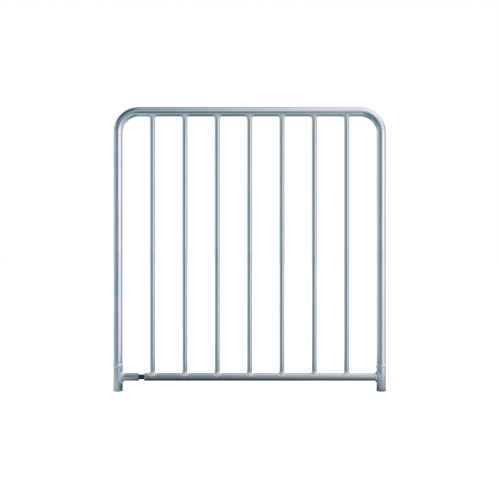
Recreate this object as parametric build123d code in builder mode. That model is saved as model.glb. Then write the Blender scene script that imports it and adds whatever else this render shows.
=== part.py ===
"""Crowd control barrier panel of zinc-plated steel tube, in millimetres.

A bent tube makes the top rail and both legs.  Each leg is butt-welded, over an inner spigot, to
a short sleeve that is open at the bottom to drop over a ground spigot.  A thinner bottom rail
joins the two sleeves, with a moulded connector near its left end, and upright bars fill the
frame at equal gaps.

Frame: X along the barrier, Y through it, +Z up.  The origin is on the ground, midway between
the legs.
"""

import os
from math import asin, pi

from build123d import *

# Bent frame tube
frame_height = 1000.0  # ground to the top of the tube
frame_width = 960.0  # over both legs
frame_d = 33.7
frame_wall = 2.6
bend_radius = 74.0  # to the tube's centre line

# Bottom rail
rail_d = 28.0
rail_wall = 1.5
rail_height = 50.0  # ground to the rail's centre line

# Upright bars
bar_count = 7
bar_d = 18.0
bar_wall = 1.5

# Leg sleeves and the spigots inside their joints
sleeve_length = 90.0
socket_ream = 0.35  # taken off the bore all round, from the ground up
socket_land = 5.0  # plain bore left between the socket and the spigot
spigot_length = 60.0
spigot_wall = 2.5
spigot_clearance = 0.1  # all round

# Connector in the bottom rail
rail_overhang = 20.0  # first bar to the rail's cut end
neck_d = 18.0
neck_length = 20.0
insert_length = 25.0  # inside each tube end
insert_clearance = 0.1  # all round
insert_lead = 1.0  # bevel on each insert's end

# Welds and edges
bar_weld = 3.5  # leg of the fillet round each bar end
rail_weld = 5.0  # leg of the fillet round each rail end
weld_room = 0.6  # most of the free wall beside a branch that its bead covers
seam_width = 14.0
seam_height = 1.2
edge_break = 0.5

# Worked out from the sizes above
frame_r = frame_d / 2
frame_bore_r = frame_r - frame_wall
rail_r = rail_d / 2
rail_bore_r = rail_r - rail_wall
bar_r = bar_d / 2
insert_r = rail_bore_r - insert_clearance
leg_x = frame_width / 2 - frame_r
top_z = frame_height - frame_r
spigot_z = sleeve_length - spigot_length / 2
socket_depth = spigot_z - socket_land
bar_gap = (2 * (leg_x - frame_r) - bar_count * bar_d) / (bar_count + 1)
bar_pitch = bar_gap + bar_d
bar_positions = [(i - (bar_count - 1) / 2) * bar_pitch for i in range(bar_count)]
rail_start_x = bar_positions[0] - bar_r - rail_overhang
neck_start_x = rail_start_x - neck_length
leg_positions = {"left": -leg_x, "right": leg_x}


def upward(x, z):
    """Plane facing up at a place on the panel's middle plane."""
    return Plane((x, 0, z), x_dir=(1, 0, 0), z_dir=(0, 0, 1))


def rightward(x, z):
    """Plane facing +X at a place on the panel's middle plane."""
    return Plane((x, 0, z), x_dir=(0, 1, 0), z_dir=(1, 0, 0))


def draw_tube(radius, wall):
    """Draw a tube's wall in the sketch that is open."""
    Circle(radius)
    Circle(radius - wall, mode=Mode.SUBTRACT)


def fillet_bead(branch_plane, branch_r, run_plane, run_r, leg):
    """Weld bead round a branch tube whose plane stands square on a run tube's middle."""
    free_wall = run_r * (pi / 2 - asin(branch_r / run_r))
    leg = min(leg, weld_room * free_wall)
    reach = run_r + branch_r + 2 * leg
    with BuildPart() as bead:
        with BuildSketch(run_plane):
            Circle(run_r)
        extrude(amount=reach, both=True)
        with BuildSketch(branch_plane):
            Circle(branch_r)
        extrude(amount=reach)
        chamfer(bead.edges(Select.NEW), leg)
        with BuildSketch(run_plane):
            Circle(run_r)
        extrude(amount=2 * reach, both=True, mode=Mode.SUBTRACT)
        with BuildSketch(branch_plane):
            Circle(branch_r)
        extrude(amount=2 * reach, both=True, mode=Mode.SUBTRACT)
    return bead.part


def save(part, name):
    """Label a finished piece and write its STEP file."""
    part.label = name
    export_step(part, f"parts/{name}.step")


os.makedirs("parts", exist_ok=True)

# Bent tube: both legs, two bends and the top rail in one length
with BuildPart() as top_frame:
    with BuildLine() as frame_path:
        FilletPolyline(
            (-leg_x, 0, sleeve_length),
            (-leg_x, 0, top_z),
            (leg_x, 0, top_z),
            (leg_x, 0, sleeve_length),
            radius=bend_radius,
        )
    with BuildSketch(upward(-leg_x, sleeve_length)):
        draw_tube(frame_r, frame_wall)
    sweep(path=frame_path.wire())
save(top_frame.part, "top_frame")

for side, x in leg_positions.items():
    # Sleeve, opened out from below for a ground spigot
    with BuildPart() as leg_sleeve:
        with BuildSketch(upward(x, 0)):
            draw_tube(frame_r, frame_wall)
        extrude(amount=sleeve_length)
        with BuildSketch(upward(x, 0)):
            Circle(frame_bore_r + socket_ream)
        extrude(amount=socket_depth, mode=Mode.SUBTRACT)
        chamfer(leg_sleeve.edges().group_by(Axis.Z)[0], edge_break)
    save(leg_sleeve.part, f"{side}_leg_sleeve")

    # Spigot that lines the sleeve up with the leg, half in each
    with BuildPart() as leg_spigot:
        with BuildSketch(upward(x, spigot_z)):
            draw_tube(frame_bore_r - spigot_clearance, spigot_wall)
        extrude(amount=spigot_length)
        chamfer(leg_spigot.edges().filter_by(GeomType.CIRCLE), edge_break)
    save(leg_spigot.part, f"{side}_leg_spigot")

    # Low rounded butt weld round the joint
    with BuildPart() as leg_seam:
        with BuildSketch(Plane((x, 0, sleeve_length), x_dir=(1, 0, 0), z_dir=(0, -1, 0))):
            with BuildLine():
                cap = ThreePointArc(
                    (frame_r, -seam_width / 2),
                    (frame_r + seam_height, 0),
                    (frame_r, seam_width / 2),
                )
                Line(cap @ 1, cap @ 0)
            make_face()
        revolve(axis=Axis((x, 0, 0), (0, 0, 1)))
    save(leg_seam.part, f"{side}_leg_seam_weld")

# Bottom rail, from its cut end to the right sleeve
with BuildPart() as bottom_rail:
    with BuildSketch(rightward(rail_start_x, rail_height)):
        draw_tube(rail_r, rail_wall)
    extrude(amount=leg_x - rail_start_x)
    chamfer(bottom_rail.edges().group_by(Axis.X)[0], edge_break)
    with BuildSketch(upward(leg_x, rail_height)):
        Circle(frame_r)
    extrude(amount=frame_d, both=True, mode=Mode.SUBTRACT)
save(bottom_rail.part, "bottom_rail")

# Stub of the same tube on the left sleeve
with BuildPart() as rail_stub:
    with BuildSketch(rightward(-leg_x, rail_height)):
        draw_tube(rail_r, rail_wall)
    extrude(amount=neck_start_x + leg_x)
    chamfer(rail_stub.edges().group_by(Axis.X)[-1], edge_break)
    with BuildSketch(upward(-leg_x, rail_height)):
        Circle(frame_r)
    extrude(amount=frame_d, both=True, mode=Mode.SUBTRACT)
save(rail_stub.part, "rail_stub")

# Connector: a bare neck between the cut tube ends and an insert in each of them
with BuildPart() as rail_connector:
    with BuildSketch(rightward(neck_start_x, rail_height)):
        Circle(neck_d / 2)
    extrude(amount=neck_length)
    for insert_x, amount in ((neck_start_x, -insert_length), (rail_start_x, insert_length)):
        with BuildSketch(rightward(insert_x, rail_height)):
            Circle(insert_r)
        extrude(amount=amount)
    for end in (0, -1):
        chamfer(rail_connector.edges().group_by(Axis.X)[end], insert_lead)
save(rail_connector.part, "rail_connector")

# Upright bars, coped to the two rails
for number, x in enumerate(bar_positions, start=1):
    with BuildPart() as bar:
        with BuildSketch(upward(x, rail_height)):
            draw_tube(bar_r, bar_wall)
        extrude(amount=top_z - rail_height)
        with BuildSketch(rightward(x, rail_height)):
            Circle(rail_r)
        extrude(amount=bar_d, both=True, mode=Mode.SUBTRACT)
        with BuildSketch(rightward(x, top_z)):
            Circle(frame_r)
        extrude(amount=bar_d, both=True, mode=Mode.SUBTRACT)
    save(bar.part, f"bar_{number}")

# Fillet welds round the bar ends, one bead to each bar
downward = Plane((0, 0, top_z), x_dir=(1, 0, 0), z_dir=(0, 0, -1))
top_bead = fillet_bead(downward, bar_r, rightward(0, top_z), frame_r, bar_weld)
bottom_bead = fillet_bead(upward(0, rail_height), bar_r, rightward(0, rail_height), rail_r, bar_weld)
for name, bead in (("bar_top_welds", top_bead), ("bar_bottom_welds", bottom_bead)):
    with BuildPart() as bar_welds:
        with Locations(*[(x, 0, 0) for x in bar_positions]):
            add(bead)
    save(bar_welds.part, name)

# Fillet weld where the stub leaves the left sleeve
left_axis = upward(-leg_x, rail_height)
stub_weld = fillet_bead(rightward(-leg_x, rail_height), rail_r, left_axis, frame_r, rail_weld)
save(stub_weld, "rail_stub_weld")

# Fillet weld where the rail lands on the right sleeve
right_axis = upward(leg_x, rail_height)
leftward = Plane((leg_x, 0, rail_height), x_dir=(0, 1, 0), z_dir=(-1, 0, 0))
rail_end_weld = fillet_bead(leftward, rail_r, right_axis, frame_r, rail_weld)
save(rail_end_weld, "bottom_rail_weld")
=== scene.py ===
# Crowd control barrier: a welded panel of zinc-plated steel tube.  Sizes are in metres.
import math

import bpy
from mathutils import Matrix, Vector


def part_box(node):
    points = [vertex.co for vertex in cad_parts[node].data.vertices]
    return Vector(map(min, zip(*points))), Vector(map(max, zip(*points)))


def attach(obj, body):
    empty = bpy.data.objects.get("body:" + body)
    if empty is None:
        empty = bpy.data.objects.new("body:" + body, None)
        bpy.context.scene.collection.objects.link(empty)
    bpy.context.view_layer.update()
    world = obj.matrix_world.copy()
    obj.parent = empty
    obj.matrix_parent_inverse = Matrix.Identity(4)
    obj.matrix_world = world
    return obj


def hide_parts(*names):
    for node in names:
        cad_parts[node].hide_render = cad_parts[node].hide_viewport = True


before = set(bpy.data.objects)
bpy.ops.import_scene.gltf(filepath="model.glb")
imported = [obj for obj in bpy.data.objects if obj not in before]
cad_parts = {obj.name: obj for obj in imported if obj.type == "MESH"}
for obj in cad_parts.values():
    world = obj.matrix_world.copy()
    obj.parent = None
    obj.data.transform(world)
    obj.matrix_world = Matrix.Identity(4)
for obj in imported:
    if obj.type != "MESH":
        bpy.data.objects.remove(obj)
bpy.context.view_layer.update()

# --- Weld lines -------------------------------------------------------------------------------
# The panel is laid out in a jig and welded wherever two tubes meet.  These closed lines run
# along those joints.  They guide the beads and the heat marks, and are not pieces themselves.

DEPTH = Vector((0, 1, 0))


def middle(node):
    """Centre of a CAD node's box."""
    low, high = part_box(node)
    return (low + high) / 2


def half_depth(node):
    """Radius of a tube that lies in the panel's plane."""
    low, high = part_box(node)
    return (high.y - low.y) / 2


class WeldLine:
    """A closed line of points, each with the way its bead leans out of the joint."""

    def __init__(self, points, leans):
        self.points = points
        self.leans = leans


def ring_line(centre, radius, count=96):
    """Line round an upright tube."""
    points, leans = [], []
    for step in range(count):
        turn = math.tau * step / count
        out = Vector((math.cos(turn), math.sin(turn), 0))
        points.append(centre + radius * out)
        leans.append(out)
    return WeldLine(points, leans)


seat_share = 0.64  # how far out of the corner a bead's centre sits, as a share of the weld's leg


def saddle_line(foot, branch, branch_r, run_r, leg, count=96):
    """Line round the foot of a branch tube whose axis leaves the run tube's axis at a right angle."""
    run = DEPTH.cross(branch)
    points, leans = [], []
    for step in range(count):
        turn = math.tau * step / count
        out = math.cos(turn) * run + math.sin(turn) * DEPTH
        side = branch_r * math.sin(turn)
        rise = math.sqrt(run_r**2 - side**2)
        corner = foot + branch_r * out + rise * branch
        face = (side * DEPTH + rise * branch) / run_r
        along_run = (out - out.dot(face) * face).normalized()
        lean = (branch + along_run).normalized()
        bead_seat = seat_share * leg * lean.dot(branch)
        points.append(corner + bead_seat * lean)
        leans.append(lean)
    return WeldLine(points, leans)


frame_r = half_depth("top_frame")
rail_r = half_depth("bottom_rail")
bar_r = half_depth("bar_1")
leg_x = middle("right_leg_sleeve").x
top_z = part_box("top_frame")[1].z - frame_r
joint_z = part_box("top_frame")[0].z
rail_z = middle("bottom_rail").z
bar_nodes = sorted(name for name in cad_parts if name[:4] == "bar_" and name[4:].isdigit())
bar_xs = [middle(node).x for node in bar_nodes]
bar_weld_leg = 0.0035
rail_weld_leg = 0.005

UP, DOWN = Vector((0, 0, 1)), Vector((0, 0, -1))
RIGHT, LEFT = Vector((1, 0, 0)), Vector((-1, 0, 0))
seam_lines = {
    side: ring_line(Vector((x, 0, joint_z)), frame_r) for side, x in (("left", -leg_x), ("right", leg_x))
}
rail_lines = {
    "rail_stub_weld": saddle_line(Vector((-leg_x, 0, rail_z)), RIGHT, rail_r, frame_r, rail_weld_leg),
    "bottom_rail_weld": saddle_line(Vector((leg_x, 0, rail_z)), LEFT, rail_r, frame_r, rail_weld_leg),
}
bar_tops = [Vector((x, 0, top_z)) for x in bar_xs]
bar_feet = [Vector((x, 0, rail_z)) for x in bar_xs]
bar_lines = {
    "bar_top_welds": [saddle_line(top, DOWN, bar_r, frame_r, bar_weld_leg) for top in bar_tops],
    "bar_bottom_welds": [saddle_line(foot, UP, bar_r, rail_r, bar_weld_leg) for foot in bar_feet],
}


def line_object(name, lines):
    """Loose edges along some weld lines, with each point's lean kept as an attribute."""
    points, edges, leans = [], [], []
    for line in lines:
        start, count = len(points), len(line.points)
        points += line.points
        edges += [(start + i, start + (i + 1) % count) for i in range(count)]
        leans += line.leans
    mesh = bpy.data.meshes.new(name)
    mesh.from_pydata(points, edges, [])
    lean = mesh.attributes.new("lean", "FLOAT_VECTOR", "POINT")
    for item, value in zip(lean.data, leans):
        item.vector = value
    guide = bpy.data.objects.new(name, mesh)
    bpy.context.scene.collection.objects.link(guide)
    return guide


single_lines = [*seam_lines.values(), *rail_lines.values()]
weld_guide = line_object("weld_lines", single_lines + sum(bar_lines.values(), []))

# --- Bent frame tube --------------------------------------------------------------------------
# One length of round steel tube, bent twice in a tube bender, makes both legs and the top rail.
# The whole panel is bright zinc plated after welding, with a bluish passivated sheen.


class Wire:
    """A node's output that can be worked with like a number, in a node tree of either kind."""

    def __init__(self, tree, socket):
        self.tree = tree
        self.socket = socket

    def step(self, operation, *others, clamp=False):
        """A Math node that takes this wire first."""
        node = self.tree.nodes.new("ShaderNodeMath")
        node.operation = operation
        node.use_clamp = clamp
        for place, value in zip(node.inputs, (self, *others)):
            plug(self.tree, value, place)
        return Wire(self.tree, node.outputs[0])

    def __add__(self, other):
        return self.step("ADD", other)

    def __sub__(self, other):
        return self.step("SUBTRACT", other)

    def __mul__(self, other):
        return self.step("MULTIPLY", other)

    def __truediv__(self, other):
        return self.step("DIVIDE", other)

    def __pow__(self, other):
        return self.step("POWER", other)


def plug(tree, value, place):
    """Put a wire, a socket or a plain value into an input."""
    if isinstance(value, Wire):
        tree.links.new(value.socket, place)
    elif isinstance(value, bpy.types.NodeSocket):
        tree.links.new(value, place)
    else:
        place.default_value = value


def put(tree, kind, inputs=None, **settings):
    """Add a node, set its settings and fill its inputs by name or number."""
    node = tree.nodes.new(kind)
    for key, value in settings.items():
        setattr(node, key, value)
    for key, value in (inputs or {}).items():
        plug(tree, value, node.inputs[key])
    return node


def new_tree(name, kind, inputs, outputs):
    """A node group with inputs {name: (type, value)} and outputs {name: type}, and both ends' sockets."""
    tree = bpy.data.node_groups.new(name, kind)
    for label, (sort, value) in inputs.items():
        socket = tree.interface.new_socket(label, in_out="INPUT", socket_type="NodeSocket" + sort)
        if value is not None:
            socket.default_value = value
    for label, sort in outputs.items():
        tree.interface.new_socket(label, in_out="OUTPUT", socket_type="NodeSocket" + sort)
    return tree, tree.nodes.new("NodeGroupInput").outputs, tree.nodes.new("NodeGroupOutput").inputs


def tube_stock(name, length, outer_r, bore, sides, spacing, edge=0.0005):
    """Straight tube along +X.  Its bore is a list of (distance, radius), and its lips are bevelled."""
    steps = max(2, round((length - 2 * edge) / spacing))
    profile = [(edge + (length - 2 * edge) * i / steps, outer_r) for i in range(steps + 1)]
    profile += [(length, outer_r - edge), (length, bore[-1][1] + edge)]
    lip_rows = {len(profile) - 2}
    inner = []
    for (s0, r0), (s1, r1) in zip(bore, bore[1:]):
        parts = max(1, round((s1 - s0) / (3 * spacing)))
        inner += [(s0 + (s1 - s0) * i / parts, r0 + (r1 - r0) * i / parts) for i in range(parts)]
    inner.append(bore[-1])
    inner[0] = (edge, inner[0][1])
    inner[-1] = (length - edge, inner[-1][1])
    profile += reversed(inner)
    profile += [(0, bore[0][1] + edge), (0, outer_r - edge)]
    lip_rows.add(len(profile) - 2)
    points = []
    for s, r in profile:
        for side in range(sides):
            turn = math.tau * side / sides
            points.append((s, r * math.cos(turn), r * math.sin(turn)))
    faces, rows = [], len(profile)
    for row in range(rows):
        for side in range(sides):
            beside, ahead = (side + 1) % sides, (row + 1) % rows
            here, there = row * sides, ahead * sides
            faces.append((here + side, here + beside, there + beside, there + side))
    mesh = bpy.data.meshes.new(name)
    mesh.from_pydata(points, [], faces)
    lips = mesh.attributes.new("cut_end", "BOOLEAN", "FACE")
    lips.data.foreach_set("value", [i // sides in lip_rows for i in range(len(faces))])
    return mesh


# The tube bender: it lays straight stock along a path whose corners are rounded, shapes the ends
# to the tubes that they land on, and marks how near each point is to a weld.  "Cut From" is how far
# along the mill's stock the piece was cut, so that no pieces in sight share a stretch of surface.
bender, given, made = new_tree(
    "Tube bender",
    "GeometryNodeTree",
    {
        "Stock": ("Geometry", None),
        "Path": ("Object", None),
        "Weld Lines": ("Object", None),
        "Bend Radius": ("Float", 0.0),
        "Run At Start": ("Float", 0.0),
        "Run At End": ("Float", 0.0),
        "Cope Reach": ("Float", 0.06),
        "Cut From": ("Float", 0.0),
        "Heat Reach": ("Float", 0.018),
        "Finish": ("Material", None),
        "Cut Finish": ("Material", None),
    },
    {"Tube": "Geometry"},
)
path_line = put(bender, "GeometryNodeObjectInfo", {"Object": given["Path"]}).outputs["Geometry"]
path = put(
    bender,
    "GeometryNodeFilletCurve",
    {"Curve": path_line, "Count": 48, "Radius": given["Bend Radius"], "Limit Radius": True},
    mode="POLY",
).outputs["Curve"]
stock_place = put(bender, "GeometryNodeInputPosition").outputs["Position"]
along, depth, out = (
    Wire(bender, socket) for socket in put(bender, "ShaderNodeSeparateXYZ", {0: stock_place}).outputs
)
from_end = Wire(bender, put(bender, "GeometryNodeCurveLength", {"Curve": path}).outputs["Length"]) - along


def cope(run_name, distance):
    """How far a point near one end is pushed back by the round tube that it lands on."""
    rise = (Wire(bender, given[run_name]) ** 2.0 - depth**2.0).step("MAXIMUM", 0.0).step("SQRT")
    share = (distance / Wire(bender, given["Cope Reach"]) * -1.0 + 1.0).step("MAXIMUM", 0.0)
    return rise * share


place_along = along + cope("Run At Start", along) - cope("Run At End", from_end)
spot = put(
    bender, "GeometryNodeSampleCurve", {"Curves": path, "Length": place_along}, mode="LENGTH"
).outputs
side_way = put(
    bender, "ShaderNodeVectorMath", {0: spot["Tangent"], 1: tuple(DEPTH)}, operation="CROSS_PRODUCT"
)
outward = put(bender, "ShaderNodeVectorMath", {0: side_way.outputs[0]}, operation="NORMALIZE")
offset_out = put(bender, "ShaderNodeVectorMath", {0: outward.outputs[0], "Scale": out}, operation="SCALE")
offset_deep = put(bender, "ShaderNodeCombineXYZ", {"Y": depth})
offset = put(bender, "ShaderNodeVectorMath", {0: offset_out.outputs[0], 1: offset_deep.outputs[0]})
bent_place = put(bender, "ShaderNodeVectorMath", {0: spot["Position"], 1: offset.outputs[0]})
cut_from = put(bender, "ShaderNodeCombineXYZ", {"X": given["Cut From"]})
stock_mark = put(bender, "ShaderNodeVectorMath", {0: stock_place, 1: cut_from.outputs[0]})
marked = put(
    bender,
    "GeometryNodeStoreNamedAttribute",
    {"Geometry": given["Stock"], "Name": "stock", "Value": stock_mark.outputs[0]},
    data_type="FLOAT_VECTOR",
    domain="POINT",
)
bent = put(
    bender, "GeometryNodeSetPosition", {"Geometry": marked.outputs[0], "Position": bent_place.outputs[0]}
)
weld_edges = put(bender, "GeometryNodeObjectInfo", {"Object": given["Weld Lines"]}).outputs["Geometry"]
to_weld = put(bender, "GeometryNodeProximity", {"Geometry": weld_edges}, target_element="EDGES")
heat = put(
    bender,
    "ShaderNodeMapRange",
    {"Value": to_weld.outputs["Distance"], "From Min": given["Heat Reach"], "From Max": 0.003},
    interpolation_type="SMOOTHSTEP",
)
heated = put(
    bender,
    "GeometryNodeStoreNamedAttribute",
    {"Geometry": bent.outputs[0], "Name": "weld_heat", "Value": heat.outputs["Result"]},
    data_type="FLOAT",
    domain="POINT",
)
cut_ends = put(bender, "GeometryNodeInputNamedAttribute", {"Name": "cut_end"}, data_type="BOOLEAN")
real = put(bender, "GeometryNodeRealizeInstances", {"Geometry": heated.outputs[0]})
coated = put(bender, "GeometryNodeSetMaterial", {"Geometry": real.outputs[0], "Material": given["Finish"]})
trimmed = put(
    bender,
    "GeometryNodeSetMaterial",
    {"Geometry": coated.outputs[0], "Selection": cut_ends.outputs[0], "Material": given["Cut Finish"]},
)
plug(bender, trimmed.outputs[0], made["Tube"])


def run_tree(tree, name, mesh, settings, sharp=35):
    """Put a mesh through a geometry tree and keep the result as a plain, smooth-shaded piece."""
    source = bpy.data.objects.new(name, mesh)
    bpy.context.scene.collection.objects.link(source)
    machine = source.modifiers.new(tree.name, "NODES")
    machine.node_group = tree
    keys = {item.name: item.identifier for item in tree.interface.items_tree if item.in_out == "INPUT"}
    for label, value in settings.items():
        machine[keys[label]] = value
    evaluated = source.evaluated_get(bpy.context.evaluated_depsgraph_get())
    piece = bpy.data.meshes.new_from_object(evaluated)
    source.modifiers.clear()
    piece.shade_smooth()
    piece.set_sharp_from_angle(angle=math.radians(sharp))
    piece.name = name
    source.data = piece
    return source


def path_object(name, corners):
    """A line through some corners, for the tube bender to follow."""
    curve = bpy.data.curves.new(name, "CURVE")
    curve.dimensions = "3D"
    line = curve.splines.new("POLY")
    line.points.add(len(corners) - 1)
    for point, corner in zip(line.points, corners):
        point.co = (*corner, 1)
    guide = bpy.data.objects.new(name, curve)
    bpy.context.scene.collection.objects.link(guide)
    return guide


def run_length(corners, bend_radius):
    """Length of a path once its square corners are rounded."""
    straight = sum((b - a).length for a, b in zip(corners, corners[1:]))
    return straight - (len(corners) - 2) * (2 - math.pi / 2) * bend_radius


def finish_tube(name, node, corners, outer_r, bore, sides, spacing=0.004, **settings):
    """Cut stock to the path's length, bend and cope it, and let it stand for its CAD node."""
    guide = path_object(name + "_path", corners)
    length = run_length(corners, settings.get("Bend Radius", 0))
    stock = tube_stock(name, length, outer_r, bore(length), sides, spacing)
    settings = {"Path": guide, "Weld Lines": weld_guide, "Finish": zinc, "Cut Finish": zinc_cut} | settings
    tube = run_tree(bender, name, stock, settings)
    bpy.data.objects.remove(guide)
    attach(tube, "root")
    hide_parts(node)


def stretched(tree, vector, scale):
    """A vector multiplied axis by axis."""
    return put(tree, "ShaderNodeVectorMath", {0: vector, 1: scale}, operation="MULTIPLY").outputs[0]


def noise(tree, vector, scale, detail=2.0, roughness=0.5, distortion=0.0):
    """Noise between 0 and 1 as a wire."""
    settings = {"Scale": scale, "Detail": detail, "Roughness": roughness, "Distortion": distortion}
    node = put(tree, "ShaderNodeTexNoise", {"Vector": vector} | settings)
    return Wire(tree, node.outputs["Fac"])


def spread(tree, value, low, high):
    """A value between low and high, stretched to run from 0 to 1."""
    limits = {"Value": value, "From Min": low, "From Max": high}
    node = put(tree, "ShaderNodeMapRange", limits, interpolation_type="SMOOTHSTEP")
    return Wire(tree, node.outputs["Result"])


def blend_colour(tree, share, first, second):
    """A mix of two colours."""
    node = tree.nodes.new("ShaderNodeMix")
    node.data_type = "RGBA"
    plug(tree, share, node.inputs["Factor"])
    plug(tree, first, node.inputs[6])
    plug(tree, second, node.inputs[7])
    return node.outputs[2]


# Passivated film: the thin conversion coat over the zinc, which drifts between blue and lilac.
film, film_in, film_out = new_tree(
    "Passivated film",
    "ShaderNodeTree",
    {
        "Place": ("Vector", None),
        "Base": ("Color", (0.72, 0.78, 0.81, 1)),
        "Blue": ("Color", (0.58, 0.74, 0.82, 1)),
        "Lilac": ("Color", (0.80, 0.76, 0.82, 1)),
        "Patch Scale": ("Float", 14.0),
        "Strength": ("Float", 0.75),
    },
    {"Color": "Color"},
)
film_place = stretched(film, film_in["Place"], (0.35, 1.0, 1.0))
blue_share = spread(film, noise(film, film_place, film_in["Patch Scale"], 3.0), 0.48, 0.75)
lilac_scale = Wire(film, film_in["Patch Scale"]) * 1.7
lilac_share = spread(film, noise(film, film_place, lilac_scale, 3.0), 0.5, 0.8)
film_strength = Wire(film, film_in["Strength"])
film_tint = blend_colour(film, blue_share * film_strength, film_in["Base"], film_in["Blue"])
film_tint = blend_colour(film, lilac_share * film_strength, film_tint, film_in["Lilac"])
plug(film, film_tint, film_out["Color"])

# Drawn grain: fine lines along the tube, left by the forming rolls under the plating.
grain, grain_in, grain_out = new_tree(
    "Drawn grain",
    "ShaderNodeTree",
    {"Place": ("Vector", None), "Lines Per Metre": ("Float", 1400.0), "Stretch": ("Float", 0.012)},
    {"Height": "Float", "Streaks": "Float"},
)
lengthwise = put(grain, "ShaderNodeCombineXYZ", {"X": grain_in["Stretch"], "Y": 1.0, "Z": 1.0}).outputs[0]
grain_place = stretched(grain, grain_in["Place"], lengthwise)
fine_lines = noise(grain, grain_place, grain_in["Lines Per Metre"], 2.0, 0.6)
broad_lines = noise(grain, grain_place, Wire(grain, grain_in["Lines Per Metre"]) * 0.16, 3.0, 0.6)
plug(grain, fine_lines * 0.6 + broad_lines * 0.4, grain_out["Height"])
plug(grain, spread(grain, broad_lines, 0.35, 0.7), grain_out["Streaks"])

# Plating crystal: the fine, even grain of electroplated zinc.
crystal, crystal_in, crystal_out = new_tree(
    "Plating crystal",
    "ShaderNodeTree",
    {"Place": ("Vector", None), "Grains Per Metre": ("Float", 2600.0)},
    {"Height": "Float"},
)
crystal_grid = {"Vector": crystal_in["Place"], "Scale": crystal_in["Grains Per Metre"]}
cells = put(crystal, "ShaderNodeTexVoronoi", crystal_grid)
plug(crystal, cells.outputs["Distance"], crystal_out["Height"])

# Handling marks: short, faint rubs where panels were stacked and dragged over each other.
rubs, rubs_in, rubs_out = new_tree(
    "Handling marks",
    "ShaderNodeTree",
    {"Place": ("Vector", None), "Scale": ("Float", 60.0), "Amount": ("Float", 0.5)},
    {"Mask": "Float"},
)
rub_masks = []
rub_length = (0.07, 1.0, 1.0)
for slant in ((0.5, 0.3, 0.9), (0.2, 0.8, -0.6), (-0.7, 0.4, 0.3)):
    turn = {"Vector": rubs_in["Place"], "Rotation": slant, "Scale": rub_length}
    turned = put(rubs, "ShaderNodeMapping", turn).outputs[0]
    streaks = noise(rubs, turned, Wire(rubs, rubs_in["Scale"]) * 11.0, 1.0, 0.3)
    rub_masks.append(spread(rubs, streaks, 0.70, 0.76))
patches = spread(rubs, noise(rubs, rubs_in["Place"], Wire(rubs, rubs_in["Scale"]) * 0.25, 2.0), 0.5, 0.62)
rub_mask = rub_masks[0].step("MAXIMUM", rub_masks[1]).step("MAXIMUM", rub_masks[2])
plug(rubs, rub_mask * patches * Wire(rubs, rubs_in["Amount"]), rubs_out["Mask"])

# Settled dust: a thin pale bloom on whatever faces up.
dust, dust_in, dust_out = new_tree(
    "Settled dust",
    "ShaderNodeTree",
    {"Place": ("Vector", None), "Scale": ("Float", 90.0), "Amount": ("Float", 0.2)},
    {"Mask": "Float"},
)
surface_way = put(dust, "ShaderNodeNewGeometry").outputs["Normal"]
upward = put(dust, "ShaderNodeSeparateXYZ", {0: surface_way}).outputs["Z"]
dust_cloud = spread(dust, noise(dust, dust_in["Place"], dust_in["Scale"], 5.0, 0.7), 0.35, 0.75)
plug(dust, spread(dust, upward, 0.35, 0.95) * dust_cloud * Wire(dust, dust_in["Amount"]), dust_out["Mask"])


def use(tree, group, inputs):
    """Place a shared effect in a material."""
    node = tree.nodes.new("ShaderNodeGroup")
    node.node_tree = group
    for key, value in inputs.items():
        plug(tree, value, node.inputs[key])
    return {socket.name: socket for socket in node.outputs}


def new_material(name):
    """A material's tree and its Principled shader."""
    material = bpy.data.materials.new(name)
    material.use_nodes = True
    return material, material.node_tree, material.node_tree.nodes["Principled BSDF"]


def bump(tree, height, distance, strength):
    """A bumped normal."""
    node = put(tree, "ShaderNodeBump", {"Height": height, "Distance": distance, "Strength": strength})
    return node.outputs["Normal"]


streak_grey = (0.50, 0.57, 0.60, 1)
scorched_zinc = (0.50, 0.51, 0.49, 1)
matt_zinc = (0.76, 0.86, 0.91, 1)
rubbed_zinc = (0.86, 0.88, 0.90, 1)
dust_colour = (0.60, 0.58, 0.54, 1)


def tube_zinc(name, film_shades, polish):
    """Zinc over drawn tube: film, drawn grain, crystal, rubs, dust, and a pale matt zone by the welds."""
    material, tree, coat = new_material(name)
    stock_at = put(tree, "ShaderNodeAttribute", attribute_name="stock").outputs["Vector"]
    heat_at = Wire(tree, put(tree, "ShaderNodeAttribute", attribute_name="weld_heat").outputs["Fac"])
    tint = use(tree, film, {"Place": stock_at} | film_shades)["Color"]
    lines = use(tree, grain, {"Place": stock_at})
    grains = use(tree, crystal, {"Place": stock_at})["Height"]
    rubbed = Wire(tree, use(tree, rubs, {"Place": stock_at, "Amount": 0.6})["Mask"])
    dusty = Wire(tree, use(tree, dust, {"Place": stock_at, "Amount": 0.14})["Mask"])
    streaks = Wire(tree, lines["Streaks"])
    scorch = (heat_at * (noise(tree, stock_at, 260.0, 4.0, 0.65) * 1.5 + 0.2)).step("MINIMUM", 1.0)
    matt = spread(tree, heat_at + scorch * 0.16, 0.58, 1.06)
    colour = blend_colour(tree, streaks * 0.30, tint, streak_grey)
    colour = blend_colour(tree, scorch * 0.25, colour, scorched_zinc)
    colour = blend_colour(tree, matt * 0.8, colour, matt_zinc)
    colour = blend_colour(tree, rubbed, colour, rubbed_zinc)
    colour = blend_colour(tree, dusty, colour, dust_colour)
    plug(tree, colour, coat.inputs["Base Color"])
    dull = streaks * 0.07 + scorch * 0.12 + matt * 0.25 + rubbed * 0.14 + dusty * 0.4 + polish
    plug(tree, dull, coat.inputs["Roughness"])
    plug(tree, dusty * -0.8 - matt * 0.6 + 1.0, coat.inputs["Metallic"])
    fine = Wire(tree, lines["Height"]) * 0.7 + Wire(tree, grains) * 0.3
    plug(tree, bump(tree, fine - rubbed * 0.3, 0.00007, 0.6), coat.inputs["Normal"])
    return material


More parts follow.
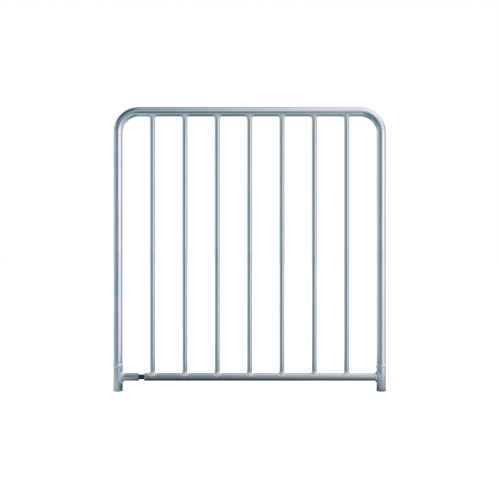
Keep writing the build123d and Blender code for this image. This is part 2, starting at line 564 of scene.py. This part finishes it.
tube_polish = 0.13
zinc = tube_zinc("zinc_on_tube", {}, tube_polish)

# Zinc over a saw cut: the same plating on a tube's sawn lip, with the blade's marks under it
blade_grey = (0.38, 0.42, 0.44, 1)
zinc_cut, tree, coat = new_material("zinc_on_saw_cut")
cut_at = put(tree, "ShaderNodeTexCoord").outputs["Object"]
blade = noise(tree, stretched(tree, cut_at, (1.0, 0.04, 1.0)), 2400.0, 2.0, 0.6)
cut_film = use(tree, film, {"Place": cut_at, "Patch Scale": 60.0})
cut_colour = blend_colour(tree, blade * 0.6, cut_film["Color"], blade_grey)
plug(tree, cut_colour, coat.inputs["Base Color"])
plug(tree, blade * 0.25 + 0.28, coat.inputs["Roughness"])
coat.inputs["Metallic"].default_value = 1.0
plug(tree, bump(tree, blade, 0.00008, 0.6), coat.inputs["Normal"])

frame_wall = 0.0026
frame_bore = frame_r - frame_wall
frame_sides = 64
bend_radius = 0.074
frame_corners = [
    Vector((-leg_x, 0, joint_z)),
    Vector((-leg_x, 0, top_z)),
    Vector((leg_x, 0, top_z)),
    Vector((leg_x, 0, joint_z)),
]


def plain_bore(radius):
    """A bore of one size, as a function of the tube's length."""
    return lambda length: [(0, radius), (length, radius)]


finish_tube(
    "frame_tube",
    "top_frame",
    frame_corners,
    frame_r,
    plain_bore(frame_bore),
    frame_sides,
    **{"Bend Radius": bend_radius},
)

# --- Leg sleeves ------------------------------------------------------------------------------
# Short lengths of the same tube, butt-welded under the legs and sawn off square at the ground.
# The lower part of each bore is opened out for a ground spigot.

socket_ream = 0.00035
socket_r = frame_bore + socket_ream
socket_depth = 0.055


def socket_bore(length):
    """Wide from the ground up to the socket's end, then the tube's own bore."""
    return [(0, socket_r), (socket_depth, socket_r), (socket_depth, frame_bore), (length, frame_bore)]


for number, (side, x) in enumerate((("left", -leg_x), ("right", leg_x)), start=1):
    finish_tube(
        f"{side}_sleeve",
        f"{side}_leg_sleeve",
        [Vector((x, 0, 0)), Vector((x, 0, joint_z))],
        frame_r,
        socket_bore,
        frame_sides,
        spacing=0.003,
        **{"Cut From": 3.0 + number},
    )

# --- Spigots in the leg joints ----------------------------------------------------------------
# A short length of smaller tube lines each sleeve up with its leg.  It is pushed half into each
# before the joint is welded over it.

spigot_wall = 0.0025
spigot_sides = 48
spigot_bore = plain_bore(half_depth("left_leg_spigot") - spigot_wall)
for side in ("left", "right"):
    low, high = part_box(f"{side}_leg_spigot")
    centre = (low + high) / 2
    finish_tube(
        f"{side}_spigot",
        f"{side}_leg_spigot",
        [Vector((centre.x, 0, low.z)), Vector((centre.x, 0, high.z))],
        half_depth(f"{side}_leg_spigot"),
        spigot_bore,
        spigot_sides,
        spacing=0.006,
    )

# --- Bottom rail and its stub -----------------------------------------------------------------
# Thinner tube between the sleeves, cut through near the left end, where a connector joins it.
# The outer ends are coped to fit round the sleeves, and the cut ends are square.

rail_wall = 0.0015
rail_sides = 56
rail_bore = plain_bore(rail_r - rail_wall)
rail_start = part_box("bottom_rail")[0].x
stub_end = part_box("rail_stub")[1].x
finish_tube(
    "rail_tube",
    "bottom_rail",
    [Vector((rail_start, 0, rail_z)), Vector((leg_x, 0, rail_z))],
    rail_r,
    rail_bore,
    rail_sides,
    **{"Run At End": frame_r, "Cut From": 6.0},
)
finish_tube(
    "rail_stub_tube",
    "rail_stub",
    [Vector((-leg_x, 0, rail_z)), Vector((stub_end, 0, rail_z))],
    rail_r,
    rail_bore,
    rail_sides,
    spacing=0.003,
    **{"Run At Start": frame_r, "Cut From": 8.0},
)

# --- Connector --------------------------------------------------------------------------------
# Black moulded nylon: a bare neck between the rail's cut ends, with an insert pressed into each.
# A fine mould line runs along it, and the surface has the grain of a spark-eroded mould.

connector_low, connector_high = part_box("rail_connector")
insert_r = half_depth("rail_connector")
neck_r = 0.009
neck_fillet = 0.0012
insert_lead = 0.001
edge_break = 0.0003
flash_height = 0.00018
flash_width = 0.05


def connector_profile():
    """Stations along the moulding, as (x, radius)."""
    stations = [(connector_low.x, 0), (connector_low.x, insert_r - insert_lead)]
    stations += [(connector_low.x + insert_lead, insert_r), (stub_end - edge_break, insert_r)]
    stations.append((stub_end, insert_r - edge_break))
    corner = [math.radians(90 * step / 5) for step in range(6)]
    for turn in corner:
        x = stub_end + neck_fillet * (1 - math.cos(turn))
        stations.append((x, neck_r + neck_fillet * (1 - math.sin(turn))))
    for turn in reversed(corner):
        x = rail_start - neck_fillet * (1 - math.cos(turn))
        stations.append((x, neck_r + neck_fillet * (1 - math.sin(turn))))
    stations.append((rail_start, insert_r - edge_break))
    stations += [(rail_start + edge_break, insert_r), (connector_high.x - insert_lead, insert_r)]
    return stations + [(connector_high.x, insert_r - insert_lead), (connector_high.x, 0)]


def moulding(name, stations, sides=72):
    """Turned body along X with a raised mould line on its front and back."""
    inner = stations[1:-1]
    points = [(stations[0][0], 0, rail_z), (stations[-1][0], 0, rail_z)]
    for x, radius in inner:
        on_neck = radius < (neck_r + insert_r) / 2
        for side in range(sides):
            turn = math.tau * side / sides
            off_line = math.acos(min(abs(math.cos(turn)), 1))
            flash = flash_height * max(0, 1 - off_line / flash_width)
            reach = radius + (flash if on_neck else 0)
            points.append((x, reach * math.cos(turn), rail_z + reach * math.sin(turn)))
    faces = []
    for side in range(sides):
        beside = (side + 1) % sides
        faces.append((0, 2 + beside, 2 + side))
        last = 2 + (len(inner) - 1) * sides
        faces.append((1, last + side, last + beside))
        for row in range(len(inner) - 1):
            here, ahead = 2 + row * sides, 2 + (row + 1) * sides
            faces.append((here + side, here + beside, ahead + beside, ahead + side))
    mesh = bpy.data.meshes.new(name)
    mesh.from_pydata(points, [], faces)
    mesh.shade_smooth()
    mesh.set_sharp_from_angle(angle=math.radians(40))
    body = bpy.data.objects.new(name, mesh)
    bpy.context.scene.collection.objects.link(body)
    return body


nylon_shades = (0.009, 0.010, 0.011, 1), (0.020, 0.021, 0.022, 1)
nylon_rub_grey = (0.07, 0.07, 0.07, 1)
nylon_dust_grey = (0.22, 0.21, 0.19, 1)
nylon, tree, skin = new_material("black_nylon")
nylon_at = put(tree, "ShaderNodeTexCoord").outputs["Object"]
spark_grain = noise(tree, nylon_at, 2600.0, 3.0, 0.6)
flow = noise(tree, stretched(tree, nylon_at, (0.3, 1.0, 1.0)), 160.0, 3.0, 0.5, 0.6)
nylon_rubs = use(tree, rubs, {"Place": nylon_at, "Scale": 160.0, "Amount": 0.5})
nylon_dust = use(tree, dust, {"Place": nylon_at, "Scale": 240.0, "Amount": 0.25})
colour = blend_colour(tree, spread(tree, flow, 0.3, 0.8), *nylon_shades)
colour = blend_colour(tree, nylon_rubs["Mask"], colour, nylon_rub_grey)
colour = blend_colour(tree, nylon_dust["Mask"], colour, nylon_dust_grey)
plug(tree, colour, skin.inputs["Base Color"])
dull = spark_grain * 0.15 + flow * 0.1 + Wire(tree, nylon_dust["Mask"]) * 0.3 + 0.36
plug(tree, dull, skin.inputs["Roughness"])
plug(tree, bump(tree, spark_grain * 0.7 + flow * 0.3, 0.00018, 0.7), skin.inputs["Normal"])
skin.inputs["IOR"].default_value = 1.52

connector = moulding("rail_connector_moulding", connector_profile())
connector.data.materials.append(nylon)
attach(connector, "root")
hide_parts("rail_connector")

# --- Upright bars -----------------------------------------------------------------------------
# Light round tube, coped at both ends to sit on the bottom rail and under the top rail, and
# set at equal gaps by the jig's spacers.

bar_wall = 0.0015
bar_polish = 0.19
bar_sides = 44
bar_bore = plain_bore(bar_r - bar_wall)
bar_shades = {
    "Base": (0.58, 0.64, 0.67, 1),
    "Blue": (0.46, 0.61, 0.68, 1),
    "Lilac": (0.66, 0.62, 0.68, 1),
}
bar_zinc = tube_zinc("zinc_on_bar", bar_shades, bar_polish)
for number, (node, x) in enumerate(zip(bar_nodes, bar_xs), start=1):
    finish_tube(
        f"upright_{number}",
        node,
        [Vector((x, 0, rail_z)), Vector((x, 0, top_z))],
        bar_r,
        bar_bore,
        bar_sides,
        **{
            "Run At Start": rail_r,
            "Run At End": frame_r,
            "Cope Reach": 0.05,
            "Cut From": 10.0 + 1.1 * number,
            "Finish": bar_zinc,
        },
    )

# --- Welds ------------------------------------------------------------------------------------
# Beads of melted filler wire laid by hand with a welding gun.  Each step of the gun leaves a
# ripple, and the bead swells a little where it was started.

welder, given, made = new_tree(
    "Weld bead",
    "GeometryNodeTree",
    {
        "Lines": ("Geometry", None),
        "Half Width": ("Float", 0.003),
        "Height": ("Float", 0.0015),
        "Ripple Pitch": ("Float", 0.0017),
        "Ripple Height": ("Float", 0.00016),
        "Crescent": ("Float", 0.35),
        "Wander": ("Float", 0.0003),
        "Steps Per Ripple": ("Float", 6.0),
        "Sides": ("Int", 14),
        "Seed": ("Float", 0.0),
        "Finish": ("Material", None),
    },
    {"Bead": "Geometry"},
)
line = put(welder, "GeometryNodeMeshToCurve", {"Mesh": given["Lines"]}).outputs["Curve"]
ripple_pitch = Wire(welder, given["Ripple Pitch"])
fine_line = put(
    welder,
    "GeometryNodeResampleCurve",
    {"Curve": line, "Length": ripple_pitch / Wire(welder, given["Steps Per Ripple"])},
    mode="LENGTH",
).outputs["Curve"]
lean = put(welder, "GeometryNodeInputNamedAttribute", {"Name": "lean"}, data_type="FLOAT_VECTOR")
leaning = put(
    welder,
    "GeometryNodeSetCurveNormal",
    {"Curve": fine_line, "Normal": lean.outputs["Attribute"]},
    mode="FREE",
).outputs["Curve"]
on_line = welder.nodes.new("GeometryNodeCaptureAttribute")
on_line.capture_items.new("FLOAT", "Distance")
on_line.capture_items.new("FLOAT", "Share")
spline = put(welder, "GeometryNodeSplineParameter").outputs
for place, value in (("Geometry", leaning), ("Distance", spline["Length"]), ("Share", spline["Factor"])):
    plug(welder, value, on_line.inputs[place])
round_section = put(
    welder, "GeometryNodeCurvePrimitiveCircle", {"Resolution": given["Sides"], "Radius": 1.0}
).outputs[0]
section_size = put(
    welder, "ShaderNodeCombineXYZ", {"X": given["Height"], "Y": given["Half Width"], "Z": 1.0}
).outputs[0]
flat_section = put(welder, "GeometryNodeTransform", {"Geometry": round_section, "Scale": section_size})
on_section = welder.nodes.new("GeometryNodeCaptureAttribute")
on_section.capture_items.new("FLOAT", "Turn")
section_turn = put(welder, "GeometryNodeSplineParameter").outputs["Factor"]
plug(welder, flat_section.outputs[0], on_section.inputs["Geometry"])
plug(welder, section_turn, on_section.inputs["Turn"])
bead_skin = put(
    welder,
    "GeometryNodeCurveToMesh",
    {"Curve": on_line.outputs["Geometry"], "Profile Curve": on_section.outputs["Geometry"]},
)
across_bead = (Wire(welder, on_section.outputs["Turn"]) * math.tau).step("COSINE")
curved_back = across_bead * Wire(welder, given["Crescent"])
phase = Wire(welder, on_line.outputs["Distance"]) / ripple_pitch + curved_back
ripple = ((phase * math.tau).step("SINE") * 0.5 + 0.5) ** 0.7 * Wire(welder, given["Ripple Height"])
seed_shift = put(welder, "ShaderNodeCombineXYZ", {"X": given["Seed"]})
seeded = put(
    welder,
    "ShaderNodeVectorMath",
    {0: put(welder, "GeometryNodeInputPosition").outputs[0], 1: seed_shift.outputs[0]},
)
wander = Wire(welder, given["Wander"])
sway = (noise(welder, seeded.outputs[0], 210.0, 1.0) - 0.5) * wander * 2.0
from_start = Wire(welder, on_line.outputs["Share"])
start_lump = (from_start * (from_start * -1.0 + 1.0) * -60.0).step("EXPONENT") * wander
bead_normal = put(welder, "GeometryNodeInputNormal").outputs["Normal"]
swelling = put(
    welder, "ShaderNodeVectorMath", {0: bead_normal, "Scale": ripple + sway + start_lump}, operation="SCALE"
)
rippled = put(
    welder, "GeometryNodeSetPosition", {"Geometry": bead_skin.outputs[0], "Offset": swelling.outputs[0]}
)
real = put(welder, "GeometryNodeRealizeInstances", {"Geometry": rippled.outputs[0]})
coated = put(welder, "GeometryNodeSetMaterial", {"Geometry": real.outputs[0], "Material": given["Finish"]})
plug(welder, coated.outputs[0], made["Bead"])


trace_brown = (0.52, 0.49, 0.45, 1)


def bead_zinc(name, shade, metal, dulling):
    """Zinc over weld metal: duller than on the tube, with brownish traces left beside the ripples."""
    material, tree, coat = new_material(name)
    bead_at = put(tree, "ShaderNodeTexCoord").outputs["Object"]
    film_shades = {"Patch Scale": 90.0, "Base": shade, "Strength": 0.35}
    tint = use(tree, film, {"Place": bead_at} | film_shades)["Color"]
    grains = use(tree, crystal, {"Place": bead_at, "Grains Per Metre": 1800.0})["Height"]
    traces = spread(tree, noise(tree, bead_at, 700.0, 4.0, 0.7), 0.55, 0.8)
    dusty = Wire(tree, use(tree, dust, {"Place": bead_at, "Amount": 0.15})["Mask"])
    colour = blend_colour(tree, traces * 0.35, tint, trace_brown)
    colour = blend_colour(tree, dusty, colour, dust_colour)
    plug(tree, colour, coat.inputs["Base Color"])
    plug(tree, traces * 0.16 + dusty * 0.3 + dulling, coat.inputs["Roughness"])
    plug(tree, dusty * (-0.8 * metal) + metal, coat.inputs["Metallic"])
    plug(tree, bump(tree, grains, 0.00008, 0.6), coat.inputs["Normal"])
    return material


# The plating takes more matt on the small hot beads round the bars than on the large ones
weld_shade = (0.86, 0.89, 0.90, 1)
bar_weld_shade = (0.82, 0.90, 0.93, 1)
weld_zinc = bead_zinc("zinc_on_weld", weld_shade, metal=1.0, dulling=0.38)
bar_weld_zinc = bead_zinc("zinc_on_bar_weld", bar_weld_shade, metal=0.45, dulling=0.42)


def lay_bead(name, node, lines, **settings):
    """Lay beads along some weld lines and let them stand for their CAD node."""
    guide = line_object(name + "_line", lines)
    bead = run_tree(welder, name, guide.data, {"Finish": weld_zinc} | settings, sharp=60)
    bpy.data.objects.remove(guide)
    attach(bead, "root")
    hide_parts(node)


# The ring welds are dressed almost flush, so they are wide and low, with soft ripples.
seam_low, seam_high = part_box("left_leg_seam_weld")
seam_rise = (seam_high.y - seam_low.y) / 2 - frame_r
ripple_room = 0.0002
for side, ring in seam_lines.items():
    lay_bead(
        f"{side}_ring_weld",
        f"{side}_leg_seam_weld",
        [ring],
        **{
            "Half Width": (seam_high.z - seam_low.z) / 2,
            "Height": seam_rise - ripple_room,
            "Ripple Pitch": 0.0026,
            "Ripple Height": 0.00012,
            "Wander": 0.00004,
            "Sides": 24,
        },
    )
for name, line_round in rail_lines.items():
    lay_bead(
        name.replace("weld", "fillet"),
        name,
        [line_round],
        **{
            "Half Width": 0.8 * rail_weld_leg,
            "Height": 0.45 * rail_weld_leg,
            "Ripple Pitch": 0.0021,
            "Ripple Height": 0.0002,
            "Sides": 16,
        },
    )
for name, lines_round in bar_lines.items():
    lay_bead(
        name.replace("welds", "fillets"),
        name,
        lines_round,
        **{"Half Width": 0.72 * bar_weld_leg, "Height": 0.42 * bar_weld_leg, "Finish": bar_weld_zinc},
    )
bpy.data.objects.remove(weld_guide)

# --- Studio -----------------------------------------------------------------------------------
# A level camera square to the panel at half its height, over a pale floor, in a room of soft
# light that the tubes mirror.  A card of light serves the top rail, and a scrim the bottom rail.

camera_height = 0.4967
camera_distance = 3.2
camera_x = 0.0013


def studio_sheet(name, paint_name, half_width, first_edge, second_edge, seen=True):
    """A flat sheet across the studio between edges at two (y, z), and its paint's empty tree."""
    corners = [
        (side * half_width, *edge)
        for side, edge in ((-1, first_edge), (1, first_edge), (1, second_edge), (-1, second_edge))
    ]
    mesh = bpy.data.meshes.new(name)
    mesh.from_pydata(corners, [], [(0, 1, 2, 3)])
    sheet = bpy.data.objects.new(name, mesh)
    bpy.context.scene.collection.objects.link(sheet)
    sheet.visible_camera = seen
    sheet.visible_diffuse = seen
    sheet.visible_shadow = seen
    paint = bpy.data.materials.new(paint_name)
    paint.use_nodes = True
    paint.node_tree.nodes.clear()
    mesh.materials.append(paint)
    return sheet, paint.node_tree


# The floor is plain to the camera, and to the tubes it is dim near the panel and absent far off
floor_reach = 30.0
floor, tree = studio_sheet("studio_floor", "pale_floor", floor_reach, (-floor_reach, 0), (floor_reach, 0))
floor_place = put(tree, "ShaderNodeTexCoord").outputs["Object"]
floor_parts = put(tree, "ShaderNodeSeparateXYZ", {0: floor_place}).outputs
floor_x = Wire(tree, floor_parts["X"])
floor_y = Wire(tree, floor_parts["Y"])
beyond_feet = (floor_x.step("ABSOLUTE") - leg_x).step("MAXIMUM", 0.0)
from_panel = (beyond_feet**2.0 + floor_y**2.0).step("SQRT")
left_foot = spread(tree, floor_x * -1.0, 0.36, 0.52)
right_foot = spread(tree, floor_x, 0.40, 0.56)
under_panel = spread(tree, from_panel, 0.0, 0.14) * 0.18 + left_foot * 0.45 + right_foot * 0.06 + 0.07
to_the_right = spread(tree, floor_x, -0.25, 0.5) * 0.7 + 0.9
floor_blue = (0.82, 0.96, 1.0, 1)
floor_light = {"Color": floor_blue, "Strength": under_panel * to_the_right}
near_floor = put(tree, "ShaderNodeEmission", floor_light).outputs[0]
far_floor = put(tree, "ShaderNodeBsdfTransparent").outputs[0]
far_share = spread(tree, from_panel, 0.2, 0.7)
mirrored = put(tree, "ShaderNodeMixShader", {0: far_share, 1: near_floor, 2: far_floor})
pale = put(tree, "ShaderNodeBsdfDiffuse", {"Color": (0.8, 0.8, 0.8, 1)}).outputs[0]
glow = put(tree, "ShaderNodeEmission", {"Color": (1, 1, 1, 1), "Strength": 0.75}).outputs[0]
seen_floor = put(tree, "ShaderNodeAddShader", {0: pale, 1: glow}).outputs[0]
seen = put(tree, "ShaderNodeLightPath").outputs["Is Camera Ray"]
floor_mix = put(tree, "ShaderNodeMixShader", {0: seen, 1: mirrored.outputs[0], 2: seen_floor}).outputs[0]
plug(tree, floor_mix, put(tree, "ShaderNodeOutputMaterial").inputs["Surface"])

world = bpy.data.worlds.new("studio")
world.use_nodes = True
bpy.context.scene.world = world
tree = world.node_tree
tree.nodes.clear()
toward = put(tree, "ShaderNodeTexCoord").outputs["Generated"]
toward_x, toward_y, toward_z = (
    Wire(tree, socket) for socket in put(tree, "ShaderNodeSeparateXYZ", {0: toward}).outputs
)
brightest = 1.4


def light_ramp(tree, place, span, stops):
    """Light along a span centred on zero, bluish where it is dim and faintly warm where bright."""
    node = put(tree, "ShaderNodeValToRGB", {"Fac": place})
    ramp = node.color_ramp
    ramp.interpolation = "EASE"
    while len(ramp.elements) < len(stops):
        ramp.elements.new(0.5)
    for stop, (position, level) in zip(ramp.elements, stops):
        dim = 1 - min(level, 1)
        tint = (1.06 - 0.55 * dim, 0.97 + 0.02 * dim, 1.02 + 0.10 * dim)
        stop.position = position / span + 0.5
        stop.color = (*(level * part / brightest for part in tint), 1)
    return node.outputs["Color"]


# Levels of light: the walls' by degrees to the right of the camera, the rest from left to right,
# as (place, level).  The lintel is the band of wall under the ceiling.
wall_light = (
    (-180, 1.25), (-135, 0.95), (-100, 0.85), (-72, 0.62), (-50, 0.43), (-28, 0.36), (-8, 0.29), (4, 0.40),
    (17, 0.98), (32, 1.20), (55, 1.30), (74, 1.10), (90, 0.60), (110, 0.55), (130, 0.90), (180, 1.25),
)
ceiling_light = (
    (-1.0, 0.30), (-0.6, 0.10), (-0.3, 0.18), (-0.12, 0.42),
    (0.02, 0.76), (0.12, 1.06), (0.6, 1.2), (1.0, 1.1),
)
lintel_light = (
    (-1.0, 0.30), (-0.4, 0.10), (-0.12, 0.07), (-0.04, 0.09), (0.04, 0.25), (0.12, 0.50), (0.5, 1.0),
)
low_light = ((-1.0, 0.45), (-0.2, 0.40), (-0.05, 0.52), (0.1, 0.62), (1.0, 0.8))
front_low_light = (
    (-1.0, 0.30), (-0.15, 0.14), (-0.06, 0.17), (0.03, 0.24), (0.08, 0.38), (0.12, 0.50), (1.0, 0.6),
)
front_floor_light = ((-1.0, 0.55), (-0.12, 0.62), (0.0, 0.66), (0.12, 0.78), (1.0, 0.8))
full_turn = 360
left_to_right = 2
turn_right = toward_x.step("ARCTAN2", toward_y * -1.0) / math.tau + 0.5
walls = light_ramp(tree, turn_right, full_turn, wall_light)
from_left = toward_x * 0.5 + 0.5
ceiling = light_ramp(tree, from_left, left_to_right, ceiling_light)
lintel = light_ramp(tree, from_left, left_to_right, lintel_light)
low_down = light_ramp(tree, from_left, left_to_right, low_light)
front_low = light_ramp(tree, from_left, left_to_right, front_low_light)
front_floor = light_ramp(tree, from_left, left_to_right, front_floor_light)

# The room from the horizon up and down: walls, lintel and ceiling, then the floor in bands
facing = spread(tree, toward_y * -1.0, 0.2, 0.6)
downward = toward_z * -1.0
below = spread(tree, downward, 0.17, 0.26)
skirting_blue = (0.20, 0.25, 0.28, 1)
underfoot_blue = (0.155, 0.185, 0.20, 1)
light = blend_colour(tree, spread(tree, downward, 0.0, 0.12) * 0.30, walls, skirting_blue)
light = blend_colour(tree, spread(tree, toward_z, 0.155, 0.19) * facing, light, lintel)
light = blend_colour(tree, spread(tree, toward_z, 0.36, 0.46), light, ceiling)
light = blend_colour(tree, below, light, low_down)
light = blend_colour(tree, spread(tree, downward, 0.68, 0.80), light, underfoot_blue)
light = blend_colour(tree, below * facing, light, front_low)
light = blend_colour(tree, spread(tree, downward, 0.62, 0.74) * facing, light, front_floor)

# Straight overhead it is warmer, and behind the panel it is dimmer
warmed = stretched(tree, light, (1.16, 1.0, 0.94))
light = blend_colour(tree, spread(tree, toward_z, 0.6, 0.95), light, warmed)
shaded = put(tree, "ShaderNodeVectorMath", {0: light, "Scale": 0.74}, operation="SCALE").outputs[0]
behind = spread(tree, toward_y, 0.0, 0.3) * spread(tree, toward_z, 0.17, 0.3)
light = blend_colour(tree, behind, light, shaded)
lit = put(tree, "ShaderNodeBackground", {"Color": light, "Strength": brightest}).outputs[0]
backdrop = put(tree, "ShaderNodeBackground", {"Color": (1, 1, 1, 1), "Strength": 1.0}).outputs[0]
seen = put(tree, "ShaderNodeLightPath").outputs["Is Camera Ray"]
world_mix = put(tree, "ShaderNodeMixShader", {0: seen, 1: lit, 2: backdrop}).outputs[0]
plug(tree, world_mix, put(tree, "ShaderNodeOutputWorld").inputs["Surface"])

# A long card of light hangs above the camera's line, where only the top rail can mirror it
card_reach = 0.9
card_y = -0.5
card_bottom = 1.062
card_top = 1.30
card_light = (
    (-0.9, 0.35), (-0.44, 0.49), (-0.235, 0.60), (0.03, 0.77), (0.29, 0.86), (0.5, 0.84), (0.9, 0.8),
)
card, tree = studio_sheet(
    "top_card", "card_light", card_reach, (card_y, card_top), (card_y, card_bottom), seen=False
)
card_place = put(tree, "ShaderNodeTexCoord").outputs["Object"]
card_x = Wire(tree, put(tree, "ShaderNodeSeparateXYZ", {0: card_place}).outputs["X"])
card_glow = light_ramp(tree, card_x * 0.5 + 0.5, left_to_right, card_light)
card_lit = put(tree, "ShaderNodeEmission", {"Color": card_glow, "Strength": brightest}).outputs[0]
plug(tree, card_lit, put(tree, "ShaderNodeOutputMaterial").inputs["Surface"])

# A grey scrim lies level with the camera, in front, and dims the ceiling for the bottom rail alone
scrim_reach = 1.2
scrim_front = -0.72
scrim_back = -0.2
scrim_grey = (0.62, 0.63, 0.66, 1)
scrim, tree = studio_sheet(
    "scrim",
    "scrim_cloth",
    scrim_reach,
    (scrim_front, camera_height),
    (scrim_back, camera_height),
    seen=False,
)
from_below = put(tree, "ShaderNodeNewGeometry").outputs["Backfacing"]
scrim_tint = blend_colour(tree, from_below, (1, 1, 1, 1), scrim_grey)
see_through = put(tree, "ShaderNodeBsdfTransparent", {"Color": scrim_tint}).outputs[0]
plug(tree, see_through, put(tree, "ShaderNodeOutputMaterial").inputs["Surface"])

# A wide softbox overhead lights the dust and the plastic, and is kept out of the metal's reflections
softbox = bpy.data.lights.new("softbox", "AREA")
softbox.size = 2.4
softbox.energy = 25.0
softbox_frame = bpy.data.objects.new("softbox", softbox)
softbox_frame.location = (0.4, -0.6, 2.6)
softbox_frame.visible_camera = False
softbox_frame.visible_glossy = False
bpy.context.scene.collection.objects.link(softbox_frame)

camera_data = bpy.data.cameras.new("camera")
camera_data.lens = 65.44
camera_data.sensor_width = 36.0
camera = bpy.data.objects.new("camera", camera_data)
camera.location = (camera_x, -camera_distance, camera_height)
camera.rotation_euler = (math.radians(90), 0, 0)
bpy.context.scene.collection.objects.link(camera)
bpy.context.scene.camera = camera
bpy.context.scene.view_settings.view_transform = "Standard"
